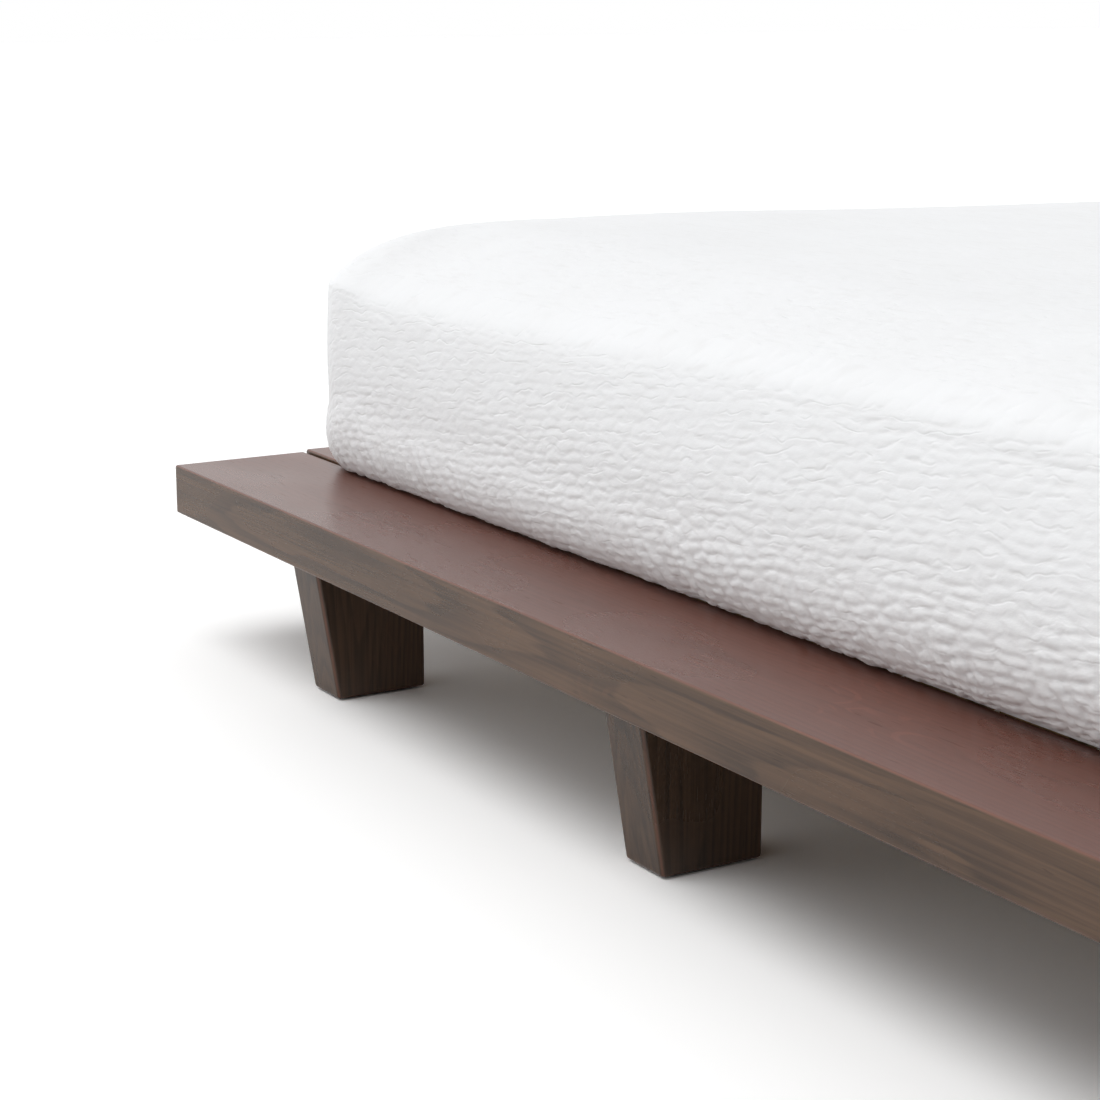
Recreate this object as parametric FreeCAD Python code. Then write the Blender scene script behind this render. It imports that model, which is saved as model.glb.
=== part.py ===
import FreeCAD, Part
import math
import os

# King size platform bed in dark stained oak, with its mattress and a quilted coverlet.
# Millimetres. X runs across the bed, Y from the foot end to the head end, Z up from the floor.

# Mattress
mattress_width = 1930.0
mattress_length = 2032.0
mattress_side_height = 238.0  # from its underside to the shoulder
mattress_corner_radius = 84.0  # round corners, seen from above
mattress_foot_radius = 30.0  # roll of the bottom edge
mattress_shoulder_radius = 26.0  # roll of the top edge
shoulder_turn = 68.0  # degrees that the shoulder turns before the crown takes over
mattress_waist = 4.0  # how far the sides draw in at half height
crown_rise = 52.0  # from the shoulder to the top of the crown
crown_run = 300.0  # from the shoulder inwards to the top of the crown
crown_corner_growth = 190.0  # how much rounder the corners grow up the crown
comfort_layer_depth = 70.0  # side depth of the soft upper layer

# Coverlet
coverlet_thickness = 6.0
coverlet_tuck = 110.0  # length turned under the mattress
coverlet_ease = 0.3  # between coverlet and mattress
bedding_clearance = 0.3  # between the coverlet and the deck that it lies on

# Platform boards
ledge_width = 186.0  # side boards, which stand out past the mattress
end_board_width = 186.0
end_ledge = 51.0  # how much of an end board shows past the mattress
board_thickness = 64.0
board_arris_radius = 3.0
deck_rise = 3.0  # end boards and slats stand this proud of the side boards
shadow_gap = 3.5  # groove between a side board and the deck

# Stub tenons that carry the end boards in the side boards
tenon_length = 22.0  # inside the mortise
tenon_width = 110.0
tenon_height = 26.0
tenon_play = 0.2

# Side legs
leg_height = 170.0  # floor to the underside of the side board
leg_thickness = 69.0  # along the bed
leg_end_inset = 348.5  # from the bed's end to the middle of its first leg
leg_outer_inset = 20.0  # behind the board's outer face, at the top
leg_inner_inset = 19.0
leg_taper = 28.0  # how far the outer face leans in at the floor
leg_edge_radius = 5.0
glide_thickness = 2.0
glide_margin = 13.0  # glide kept in from the edges of the leg's foot
leg_bolt_shares = (0.27, 0.73)  # across the top of the leg

# Slats
slat_count = 13
slat_width = 90.0
slat_thickness = 20.0
slat_arris_radius = 3.0
slat_screw_length = 45.0
slat_screw_share = 0.25  # of the slat's width, either side of its middle

# Cleats along the side boards
cleat_width = 30.0
cleat_height = 40.0
cleat_screw_length = 64.0
cleat_bracket_gap = 5.0

# Centre beam and the steel shoes that hold its ends
beam_width = 45.0
beam_height = 60.0
shoe_sheet = 3.0
shoe_length = 50.0
shoe_ear_width = 26.0
shoe_cheek_height = 42.0
shoe_play = 0.3
shoe_screw_length = 32.0
shoe_screw_share = 0.25  # of the plate's height on the board, in from its ends

# Centre legs and their levelling feet
centre_leg_width = 45.0
centre_leg_edge_radius = 3.0
pad_radius = 19.0
pad_rim_height = 5.0
pad_height = 12.0
pad_neck_radius = 10.0
pad_socket_depth = 6.0
stem_radius = 5.0
stem_length = 62.0
stem_nut_flats = 17.0
stem_nut_height = 6.0
stem_nut_gap = 1.0  # between the pad and the nut
leveller_clearance = 0.3  # between the nut and the leg at the top stop
running_clearance = 0.1  # round the stem
bush_radius = 8.0
bush_length = 25.0
stem_bore_clearance = 1.5  # round the stem above its bush
stem_bore_spare = 4.0  # bore past the end of the stem

# Corner brackets
bracket_leg = 60.0
bracket_sheet = 4.0
bracket_margin = 5.0  # below the slats and above the boards' undersides
bracket_bolt_shares = (0.4, 0.76)  # along each leg of the bracket, from the corner

# Fasteners
wood_screw_radius = 2.5
wood_screw_head_radius = 5.0
wood_screw_head_height = 3.5
wood_screw_sink = 0.5  # head below the surface
bracket_bolt_radius = 4.0
bracket_bolt_length = 44.0
bracket_bolt_flats = 13.0
bracket_bolt_head_height = 5.5
hanger_bolt_radius = 5.0
hanger_bolt_length = 76.0
insert_radius = 7.0
insert_length = 30.0
fastener_play = 0.1  # round every fastener
overrun = 5.0  # cuts pass this far through a face

# Levels and places that follow from the sizes above
bed_width = mattress_width + 2 * ledge_width
bed_length = mattress_length + 2 * end_ledge
inner_half = mattress_width / 2  # centre line to the inner face of a side board
ledge_top = leg_height + board_thickness
deck_top = ledge_top + deck_rise
deck_board_bottom = deck_top - board_thickness
slat_bottom = deck_top - slat_thickness
beam_bottom = slat_bottom - beam_height
bay_half = bed_length / 2 - end_board_width  # middle of the bed to the end boards
leg_pitch = bed_length / 2 - leg_end_inset  # from one leg to the next
slat_gap = (2 * bay_half - slat_count * slat_width) / (slat_count + 1)
slat_pitch = slat_width + slat_gap
centre_leg_bottom = pad_height + stem_nut_gap + stem_nut_height + leveller_clearance
bolt_half = hanger_bolt_length / 2

sides = {"left": -1, "right": 1}
ends = {"foot": -1, "head": 1}
stations = {"foot": -leg_pitch, "middle": 0.0, "head": leg_pitch}
slat_places = [slat_pitch * (i - (slat_count - 1) / 2) for i in range(slat_count)]
gap_places = [y + slat_pitch / 2 for y in slat_places[:-1:2]]  # every second gap between slats

up = FreeCAD.Vector(0, 0, 1)
down = FreeCAD.Vector(0, 0, -1)


def point(x, y, z):
    return FreeCAD.Vector(x, y, z)


def block(low, high):
    """A rectangular block between any two opposite corners."""
    corner = point(min(low.x, high.x), min(low.y, high.y), min(low.z, high.z))
    return Part.makeBox(abs(high.x - low.x), abs(high.y - low.y), abs(high.z - low.z), corner)


def long_edges(solid, axis):
    """The straight edges of a block that run along an axis."""
    return [e for e in solid.Edges if abs(e.tangentAt(e.FirstParameter).dot(axis)) > 0.99]


def without(solid, cutters):
    """The solid with holes, mortises or openings cut out of it."""
    return solid.cut(cutters).removeSplitter()


def joined(first, others):
    return first.multiFuse(others).removeSplitter()


def hexagon_bar(centre, flats, height, axis):
    """A six-sided head or nut that starts at a centre and runs along an axis."""
    radius = flats / math.sqrt(3)
    turns = [math.radians(60 * i) for i in range(7)]
    corners = [point(radius * math.cos(t), radius * math.sin(t), 0) for t in turns]
    bar = Part.Face(Part.makePolygon(corners)).extrude(up * height)
    bar.Placement = FreeCAD.Placement(centre, FreeCAD.Rotation(up, axis))
    return bar


def wood_screw(seat, axis, length, play=0):
    """A countersunk screw driven from a point of the surface, or its hole if it has play."""
    top = seat + axis * wood_screw_sink
    head_radius = wood_screw_head_radius + play
    radius = wood_screw_radius + play
    head = Part.makeCone(head_radius, radius, wood_screw_head_height, top, axis)
    shank = Part.makeCylinder(radius, length + play, top, axis)
    pieces = [shank]
    if play:
        start = seat - axis * overrun
        pieces.append(Part.makeCylinder(head_radius, overrun + wood_screw_sink, start, axis))
    return joined(head, pieces)


def bracket_bolt(seat, axis):
    """A hex bolt whose head sits on the bracket and whose shank runs along the axis."""
    head = hexagon_bar(seat, bracket_bolt_flats, bracket_bolt_head_height, axis * -1)
    shank = Part.makeCylinder(bracket_bolt_radius, bracket_bolt_length, seat, axis)
    return joined(head, [shank])


def bracket_bolt_hole(seat, axis):
    radius = bracket_bolt_radius + fastener_play
    length = overrun + bracket_bolt_length + fastener_play
    return Part.makeCylinder(radius, length, seat - axis * overrun, axis)


def hanger_bolt(top_of_leg):
    """A headless bolt, half in the top of a leg and half in the insert above it."""
    return Part.makeCylinder(hanger_bolt_radius, 2 * bolt_half, top_of_leg - up * bolt_half, up)


def hanger_bolt_hole(top_of_leg):
    radius = hanger_bolt_radius + fastener_play
    length = 2 * (bolt_half + fastener_play)
    return Part.makeCylinder(radius, length, top_of_leg - up * (bolt_half + fastener_play), up)


def threaded_insert(mouth):
    """A sleeve let into the wood above a leg, which takes the hanger bolt."""
    sleeve = Part.makeCylinder(insert_radius, insert_length, mouth, up)
    bore = hanger_bolt_radius + fastener_play
    return without(sleeve, [Part.makeCylinder(bore, insert_length + overrun, mouth, up)])


def insert_hole(mouth):
    """The hole for an insert, with the narrower hole for the bolt's end above it."""
    radius = insert_radius + fastener_play
    length = insert_length + fastener_play + overrun
    wide = Part.makeCylinder(radius, length, mouth - up * overrun, up)
    return joined(wide, [hanger_bolt_hole(mouth)])


# Where the fasteners go. Each list is used for the fasteners and for their holes.


def leg_bolt_places(side, y):
    """The two bolts of a side leg, where its top meets the board."""
    outer = bed_width / 2 - leg_outer_inset
    depth = ledge_width - leg_outer_inset - leg_inner_inset
    return [point(sides[side] * (outer - depth * s), y, leg_height) for s in leg_bolt_shares]


def centre_bolt_place(y):
    return point(0, y, beam_bottom)


def bracket_seats(side, end):
    """(seat, axis) of a bracket's bolts: two into the side board, two into the end board."""
    sx = sides[side]
    sy = ends[end]
    z = (deck_board_bottom + slat_bottom) / 2
    seats = []
    for share in bracket_bolt_shares:
        reach = bracket_leg * share
        into_side = point(sx * (inner_half - bracket_sheet), sy * (bay_half - reach), z)
        into_end = point(sx * (inner_half - reach), sy * (bay_half - bracket_sheet), z)
        seats.append((into_side, point(sx, 0, 0)))
        seats.append((into_end, point(0, sy, 0)))
    return seats


def cleat_screw_seats(side):
    sx = sides[side]
    z = slat_bottom - cleat_height / 2
    return [(point(sx * (inner_half - cleat_width), y, z), point(sx, 0, 0)) for y in gap_places]


def slat_screw_seats(y):
    """A pair of screws into each cleat and a pair into the beam."""
    reach = inner_half - cleat_width / 2
    apart = slat_width * slat_screw_share
    rows = (y - apart, y + apart)
    return [(point(x, row, deck_top), down) for x in (-reach, 0, reach) for row in rows]


def shoe_screw_seats(end):
    """Four screws through the ears of a beam shoe into the end board."""
    sy = ends[end]
    across = beam_width / 2 + shoe_play + shoe_sheet + shoe_ear_width / 2
    height = slat_bottom - bracket_margin - deck_board_bottom
    levels = [deck_board_bottom + height * s for s in (shoe_screw_share, 1 - shoe_screw_share)]
    y = sy * (bay_half - shoe_sheet)
    return [(point(x, y, z), point(0, sy, 0)) for x in (-across, across) for z in levels]


def screw_holes(seats, length):
    return [wood_screw(seat, axis, length, fastener_play) for seat, axis in seats]


def screws(seats, length):
    return [wood_screw(seat, axis, length) for seat, axis in seats]


def tenon(side, end, play=0):
    """A stub tenon across the shadow gap into the side board, or its mortise if it has play."""
    sx = sides[side]
    middle_y = ends[end] * (bed_length / 2 - end_board_width / 2)
    middle_z = (deck_board_bottom + ledge_top) / 2
    half_y = tenon_width / 2 + play
    half_z = tenon_height / 2 + play
    root = sx * (inner_half - shadow_gap)
    tip = sx * (inner_half + tenon_length + play)
    low = point(root, middle_y - half_y, middle_z - half_z)
    high = point(tip, middle_y + half_y, middle_z + half_z)
    return block(low, high)


def side_board(side):
    """A thick ledge board with eased arrises, mortised for both end boards."""
    sx = sides[side]
    low = point(sx * inner_half, -bed_length / 2, leg_height)
    high = point(sx * bed_width / 2, bed_length / 2, ledge_top)
    board = block(low, high)
    board = board.makeFillet(board_arris_radius, board.Edges)
    cutters = [tenon(side, end, tenon_play) for end in ends]
    for y in stations.values():
        cutters += [insert_hole(place) for place in leg_bolt_places(side, y)]
    for end in ends:
        bolts = bracket_seats(side, end)
        cutters += [bracket_bolt_hole(seat, axis) for seat, axis in bolts if axis.x]
    cutters += screw_holes(cleat_screw_seats(side), cleat_screw_length)
    return without(board, cutters)


def end_board(end):
    """A board across the end of the deck, with a stub tenon at each end."""
    sy = ends[end]
    half = inner_half - shadow_gap
    low = point(-half, sy * bay_half, deck_board_bottom)
    high = point(half, sy * bed_length / 2, deck_top)
    board = block(low, high)
    board = board.makeFillet(board_arris_radius, board.Edges)
    board = joined(board, [tenon(side, end) for side in sides])
    cutters = screw_holes(shoe_screw_seats(end), shoe_screw_length)
    for side in sides:
        bolts = bracket_seats(side, end)
        cutters += [bracket_bolt_hole(seat, axis) for seat, axis in bolts if axis.y]
    return without(board, cutters)


def side_leg(side, y):
    """A block leg with an upright inner face and an outer face that leans in to the floor."""
    sx = sides[side]
    top_outer = sx * (bed_width / 2 - leg_outer_inset)
    foot_outer = sx * (bed_width / 2 - leg_outer_inset - leg_taper)
    inner = sx * (inner_half + leg_inner_inset)
    back = y - leg_thickness / 2
    outline = [
        point(inner, back, glide_thickness),
        point(foot_outer, back, glide_thickness),
        point(top_outer, back, leg_height),
        point(inner, back, leg_height),
        point(inner, back, glide_thickness),
    ]
    leg = Part.Face(Part.makePolygon(outline)).extrude(point(0, leg_thickness, 0))
    lower = [e for e in leg.Edges if e.CenterOfMass.z < leg_height - leg_edge_radius]
    leg = leg.makeFillet(leg_edge_radius, lower)
    return without(leg, [hanger_bolt_hole(place) for place in leg_bolt_places(side, y)])


def leg_glide(side, y):
    """A felt pad under the foot of a side leg."""
    sx = sides[side]
    inner = sx * (inner_half + leg_inner_inset + glide_margin)
    outer = sx * (bed_width / 2 - leg_outer_inset - leg_taper - glide_margin)
    half = leg_thickness / 2 - glide_margin
    return block(point(inner, y - half, 0), point(outer, y + half, glide_thickness))


def cleat(side):
    """A strip along the inside of a side board, which carries the ends of the slats."""
    sx = sides[side]
    half = bay_half - bracket_leg - cleat_bracket_gap
    low = point(sx * (inner_half - cleat_width), -half, slat_bottom - cleat_height)
    strip = block(low, point(sx * inner_half, half, slat_bottom))
    cutters = screw_holes(cleat_screw_seats(side), cleat_screw_length)
    for y in slat_places:
        cutters += screw_holes(slat_screw_seats(y), slat_screw_length)
    return without(strip, cutters)


def slat(y):
    """A board across the deck, eased along its length and screwed down at both ends and the beam."""
    half = inner_half - shadow_gap
    low = point(-half, y - slat_width / 2, slat_bottom)
    strip = block(low, point(half, y + slat_width / 2, deck_top))
    strip = strip.makeFillet(slat_arris_radius, long_edges(strip, point(1, 0, 0)))
    return without(strip, screw_holes(slat_screw_seats(y), slat_screw_length))


def centre_beam():
    """The lengthwise beam under the middle of the slats."""
    half = bay_half - shoe_sheet - shoe_play
    low = point(-beam_width / 2, -half, beam_bottom)
    beam = block(low, point(beam_width / 2, half, slat_bottom))
    cutters = [insert_hole(centre_bolt_place(y)) for y in stations.values()]
    for y in slat_places:
        cutters += screw_holes(slat_screw_seats(y), slat_screw_length)
    return without(beam, cutters)


def beam_shoe(end):
    """A folded steel shoe: a plate on the end board, a seat under the beam and two cheeks."""
    sy = ends[end]
    inner = beam_width / 2 + shoe_play
    outer = inner + shoe_sheet
    face = sy * bay_half
    plate_face = sy * (bay_half - shoe_sheet)
    tip = sy * (bay_half - shoe_sheet - shoe_length)
    seat_bottom = beam_bottom - shoe_sheet
    plate_top = slat_bottom - bracket_margin
    ear = outer + shoe_ear_width
    plate = block(point(-ear, face, seat_bottom), point(ear, plate_face, plate_top))
    seat = block(point(-outer, plate_face, seat_bottom), point(outer, tip, beam_bottom))
    cheeks = []
    for sx in sides.values():
        low = point(sx * inner, plate_face, seat_bottom)
        cheeks.append(block(low, point(sx * outer, tip, beam_bottom + shoe_cheek_height)))
    shoe = joined(plate, [seat] + cheeks)
    return without(shoe, screw_holes(shoe_screw_seats(end), shoe_screw_length))


def corner_bracket(side, end):
    """A steel angle in the corner, bolted to the side board and to the end board."""
    sx = sides[side]
    sy = ends[end]
    bottom = deck_board_bottom + bracket_margin
    top = slat_bottom - bracket_margin
    corner = point(sx * inner_half, sy * bay_half, bottom)
    on_side = point(sx * (inner_half - bracket_sheet), sy * (bay_half - bracket_leg), top)
    on_end = point(sx * (inner_half - bracket_leg), sy * (bay_half - bracket_sheet), top)
    angle = joined(block(corner, on_side), [block(corner, on_end)])
    holes = [bracket_bolt_hole(seat, axis) for seat, axis in bracket_seats(side, end)]
    return without(angle, holes)


def stem_bore(y):
    """The bore up the middle of a centre leg, wide enough to clear the stem."""
    stem_foot = pad_height - pad_socket_depth
    length = stem_foot + stem_length + stem_bore_spare - centre_leg_bottom
    radius = stem_radius + stem_bore_clearance
    return Part.makeCylinder(radius, length, point(0, y, centre_leg_bottom), up)


def centre_leg(y):
    """A square post under the beam, bored for its bolt above and its levelling foot below."""
    half = centre_leg_width / 2
    low = point(-half, y - half, centre_leg_bottom)
    post = block(low, point(half, y + half, beam_bottom))
    post = post.makeFillet(centre_leg_edge_radius, long_edges(post, up))
    bush = Part.makeCylinder(bush_radius + fastener_play, bush_length, point(0, y, centre_leg_bottom))
    return without(post, [hanger_bolt_hole(centre_bolt_place(y)), stem_bore(y), bush])


def leveller_bush(y):
    """The threaded bush in the foot of a centre leg."""
    foot = point(0, y, centre_leg_bottom)
    bore = Part.makeCylinder(stem_radius + running_clearance, bush_length, foot)
    return without(Part.makeCylinder(bush_radius, bush_length, foot), [bore])


def leveller_stem(y):
    """The screw of a levelling foot, with the nut that a spanner turns."""
    foot = point(0, y, pad_height - pad_socket_depth + running_clearance)
    nut = hexagon_bar(point(0, y, pad_height + stem_nut_gap), stem_nut_flats, stem_nut_height, up)
    return joined(Part.makeCylinder(stem_radius, stem_length, foot), [nut])


def leveller_pad(y):
    """The round foot that the stem turns in."""
    floor = point(0, y, 0)
    rim = Part.makeCylinder(pad_radius, pad_rim_height, floor)
    shoulder = point(0, y, pad_rim_height)
    neck = Part.makeCone(pad_radius, pad_neck_radius, pad_height - pad_rim_height, shoulder, up)
    socket_floor = point(0, y, pad_height - pad_socket_depth)
    socket = Part.makeCylinder(stem_radius + running_clearance, pad_height, socket_floor)
    return without(joined(rim, [neck]), [socket])


def round_rectangle(half_x, half_y, radius, z):
    """A closed flat outline of four lines and four quarter rounds."""
    inner_x = half_x - radius
    inner_y = half_y - radius
    slant = radius * math.sqrt(0.5)
    arcs = []
    for sx, sy in ((1, 1), (-1, 1), (-1, -1), (1, -1)):
        on_x = point(sx * half_x, sy * inner_y, z)
        on_y = point(sx * inner_x, sy * half_y, z)
        middle = point(sx * (inner_x + slant), sy * (inner_y + slant), z)
        start, stop = (on_x, on_y) if sx * sy > 0 else (on_y, on_x)
        arcs.append((start, middle, stop))
    edges = []
    for i, (start, middle, stop) in enumerate(arcs):
        edges.append(Part.Arc(start, middle, stop).toShape())
        edges.append(Part.LineSegment(stop, arcs[(i + 1) % len(arcs)][0]).toShape())
    return Part.Wire(edges)


def bedding_form(skin):
    """A mattress with its rolled edges, drawn-in sides and crown, grown all round by a skin."""
    foot = mattress_foot_radius + skin
    shoulder = mattress_shoulder_radius + skin
    height = mattress_side_height + 2 * skin
    corner = mattress_corner_radius + skin
    quarter_shares = (0, 0.25, 0.5, 0.75, 1)
    sections = []
    for share in quarter_shares:
        turn = math.pi / 2 * share
        sections.append((foot * (1 - math.sin(turn)), foot * (1 - math.cos(turn))))
    upright = height - foot - shoulder
    for share in (0.25, 0.5, 0.75):
        sections.append((mattress_waist * 4 * share * (1 - share), foot + upright * share))
    for share in quarter_shares:
        turn = math.radians(shoulder_turn) * share
        rise = height - shoulder * (1 - math.sin(turn))
        sections.append((shoulder * (1 - math.cos(turn)), rise))
    sections = [(inset, rise, corner - inset) for inset, rise in sections]
    edge, level, radius = sections[-1]
    for share in (0.1, 0.22, 0.36, 0.52, 0.7, 1):
        rise = level + crown_rise * math.sin(math.pi / 2 * share)
        sections.append((edge + crown_run * share, rise, radius + crown_corner_growth * share))
    bottom = deck_top + bedding_clearance + coverlet_thickness + coverlet_ease - skin
    half_x = mattress_width / 2 + skin
    half_y = mattress_length / 2 + skin
    outlines = [round_rectangle(half_x - i, half_y - i, r, bottom + z) for i, z, r in sections]
    return Part.makeLoft(outlines, True, True)


def mattress_layers():
    """The firm core and the soft layer above it, split at one level."""
    whole = bedding_form(0)
    box = whole.BoundBox
    bottom = deck_top + bedding_clearance + coverlet_thickness + coverlet_ease
    split = bottom + mattress_side_height - comfort_layer_depth
    low = point(box.XMin - overrun, box.YMin - overrun, box.ZMin - overrun)
    high = point(box.XMax + overrun, box.YMax + overrun, box.ZMax + overrun)
    lower = block(low, point(high.x, high.y, split))
    upper = block(point(low.x, low.y, split), high)
    return whole.common(lower), whole.common(upper)


def coverlet():
    """A quilted cover over the mattress, turned under it and open below."""
    outer = bedding_form(coverlet_ease + coverlet_thickness)
    inner = bedding_form(coverlet_ease)
    half_x = mattress_width / 2 - coverlet_tuck
    half_y = mattress_length / 2 - coverlet_tuck
    mouth = deck_top - overrun
    opening = Part.Face(round_rectangle(half_x, half_y, mattress_corner_radius, mouth))
    depth = 2 * overrun + bedding_clearance + coverlet_thickness
    return without(outer, [inner, opening.extrude(up * depth)])


nodes = {}
for side in sides:
    nodes["side_board_" + side] = side_board(side)
    nodes["cleat_" + side] = cleat(side)
    for station, y in stations.items():
        nodes["leg_" + side + "_" + station] = side_leg(side, y)
    for end in ends:
        nodes["corner_bracket_" + side + "_" + end] = corner_bracket(side, end)
for end in ends:
    nodes["end_board_" + end] = end_board(end)
    nodes["beam_shoe_" + end] = beam_shoe(end)
nodes["centre_beam"] = centre_beam()
for station, y in stations.items():
    nodes["centre_leg_" + station] = centre_leg(y)
    nodes["leveller_stem_" + station] = leveller_stem(y)
    nodes["leveller_pad_" + station] = leveller_pad(y)
for number, y in enumerate(slat_places, 1):
    nodes["slat_%02d" % number] = slat(y)

# Like fasteners and small fittings, each kind together
glides = []
hanger_bolts = []
inserts = []
for y in stations.values():
    glides += [leg_glide(side, y) for side in sides]
    places = [centre_bolt_place(y)]
    for side in sides:
        places += leg_bolt_places(side, y)
    hanger_bolts += [hanger_bolt(place) for place in places]
    inserts += [threaded_insert(place) for place in places]
bracket_bolts = []
for side in sides:
    for end in ends:
        bracket_bolts += [bracket_bolt(seat, axis) for seat, axis in bracket_seats(side, end)]
cleat_screws = []
for side in sides:
    cleat_screws += screws(cleat_screw_seats(side), cleat_screw_length)
slat_screws = []
for y in slat_places:
    slat_screws += screws(slat_screw_seats(y), slat_screw_length)
shoe_screws = []
for end in ends:
    shoe_screws += screws(shoe_screw_seats(end), shoe_screw_length)
nodes["leg_glides"] = Part.makeCompound(glides)
nodes["hanger_bolts"] = Part.makeCompound(hanger_bolts)
nodes["threaded_inserts"] = Part.makeCompound(inserts)
nodes["bracket_bolts"] = Part.makeCompound(bracket_bolts)
nodes["cleat_screws"] = Part.makeCompound(cleat_screws)
nodes["slat_screws"] = Part.makeCompound(slat_screws)
nodes["shoe_screws"] = Part.makeCompound(shoe_screws)
nodes["leveller_bushes"] = Part.makeCompound([leveller_bush(y) for y in stations.values()])

# Bedding
nodes["mattress_core"], nodes["mattress_comfort_layer"] = mattress_layers()
nodes["coverlet"] = coverlet()

os.makedirs("parts", exist_ok=True)
for name, shape in nodes.items():
    shape.exportStep(os.path.join("parts", name + ".step"))
    print(name, len(shape.Solids), round(shape.Volume), shape.isValid())
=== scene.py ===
import math

import bmesh
import bpy
import numpy as np
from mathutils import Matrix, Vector


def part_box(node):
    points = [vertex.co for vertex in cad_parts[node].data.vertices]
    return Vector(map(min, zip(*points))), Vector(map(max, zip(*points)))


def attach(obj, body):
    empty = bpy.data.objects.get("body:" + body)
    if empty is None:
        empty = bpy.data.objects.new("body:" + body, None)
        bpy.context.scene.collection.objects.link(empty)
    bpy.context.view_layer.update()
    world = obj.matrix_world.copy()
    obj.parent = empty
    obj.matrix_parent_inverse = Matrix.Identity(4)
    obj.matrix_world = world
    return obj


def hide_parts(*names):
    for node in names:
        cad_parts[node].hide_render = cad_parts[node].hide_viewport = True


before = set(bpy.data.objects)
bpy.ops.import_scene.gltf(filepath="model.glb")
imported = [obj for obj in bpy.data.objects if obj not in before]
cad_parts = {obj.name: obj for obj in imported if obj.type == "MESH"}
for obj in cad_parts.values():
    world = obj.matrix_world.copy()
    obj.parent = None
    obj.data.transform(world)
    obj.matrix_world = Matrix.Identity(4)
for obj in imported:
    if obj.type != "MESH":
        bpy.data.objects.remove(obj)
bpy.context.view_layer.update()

# Side boards
# Two thick ledge boards of oak, stained dark and finished with a satin lacquer. The grain runs along
# the bed, the arrises are eased, and each board is mortised for the end boards.
oak_early = (0.048, 0.024, 0.012, 1)
oak_late = (0.118, 0.062, 0.032, 1)
oak_fleck = (0.150, 0.066, 0.034, 1)
oak_worn = (0.200, 0.080, 0.050, 1)
oak_lit_top = (0.118, 0.039, 0.024, 1)  # painted light: the faces turned up are painted a lighter, redder copy of the oak that hides the grain
lit_top_flame = (0.230, 0.090, 0.058, 1)  # ray flecks in the painted lighter top
lit_top_lift = (1.6, 1.05, 1.3, 1)  # painted light that brightens the grain showing through the top
# shares of grain and flecks that show through the painted lighter top
lit_top_grain = 0.3
lit_top_fleck = 0.3
oak_ring = 0.0065  # width of one year's growth
oak_pores = 0.5
oak_pore_depth = 0.00002
oak_rough = 0.28
lacquer_ior = 1.54
side_pith_inset = 0.085  # the tree's heart, behind the outer face of the board
side_drift = 0.35  # the two boards come from different lengths of the trunk
side_fleck = 0.7
grain_along_y = (math.radians(-90), 0, 0)


def node(tree, kind, inputs=None, **settings):
    """Adds a node. An input is given a socket, which is linked, or a plain value."""
    made = tree.nodes.new("ShaderNode" + kind)
    for name, value in settings.items():
        setattr(made, name, value)
    for name, value in (inputs or {}).items():
        if isinstance(value, bpy.types.NodeSocket):
            tree.links.new(value, made.inputs[name])
        else:
            made.inputs[name].default_value = value
    return made


def calc(tree, operation, first, second=0.0):
    return node(tree, "Math", {0: first, 1: second}, operation=operation).outputs[0]


def between(tree, value, low, high, at_low=0.0, at_high=1.0):
    """A value eased from one level to another while it passes between two limits."""
    inputs = {"Value": value, "From Min": low, "From Max": high, "To Min": at_low, "To Max": at_high}
    return node(tree, "MapRange", inputs, interpolation_type="SMOOTHSTEP").outputs[0]


def mixed(tree, share, first, second, way="MIX"):
    """The first colour with a share of the second."""
    inputs = {0: share, 6: first, 7: second}
    return node(tree, "Mix", inputs, data_type="RGBA", blend_type=way).outputs[2]


def uneven(tree, place, per_metre, detail=2.0):
    """Cloudy variation about a half, with its own scale along each axis."""
    stretched = node(tree, "VectorMath", {0: place, 1: per_metre}, operation="MULTIPLY").outputs[0]
    return node(tree, "TexNoise", {"Vector": stretched, "Scale": 1.0, "Detail": detail}).outputs[0]


def new_group(name, inputs, outputs):
    """An empty shader group: its tree, its inputs by name and its output node."""
    tree = bpy.data.node_groups.new(name, "ShaderNodeTree")
    for label, kind in inputs:
        tree.interface.new_socket(label, in_out="INPUT", socket_type="NodeSocket" + kind)
    for label, kind in outputs:
        tree.interface.new_socket(label, in_out="OUTPUT", socket_type="NodeSocket" + kind)
    return tree, tree.nodes.new("NodeGroupInput").outputs, tree.nodes.new("NodeGroupOutput")


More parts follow.
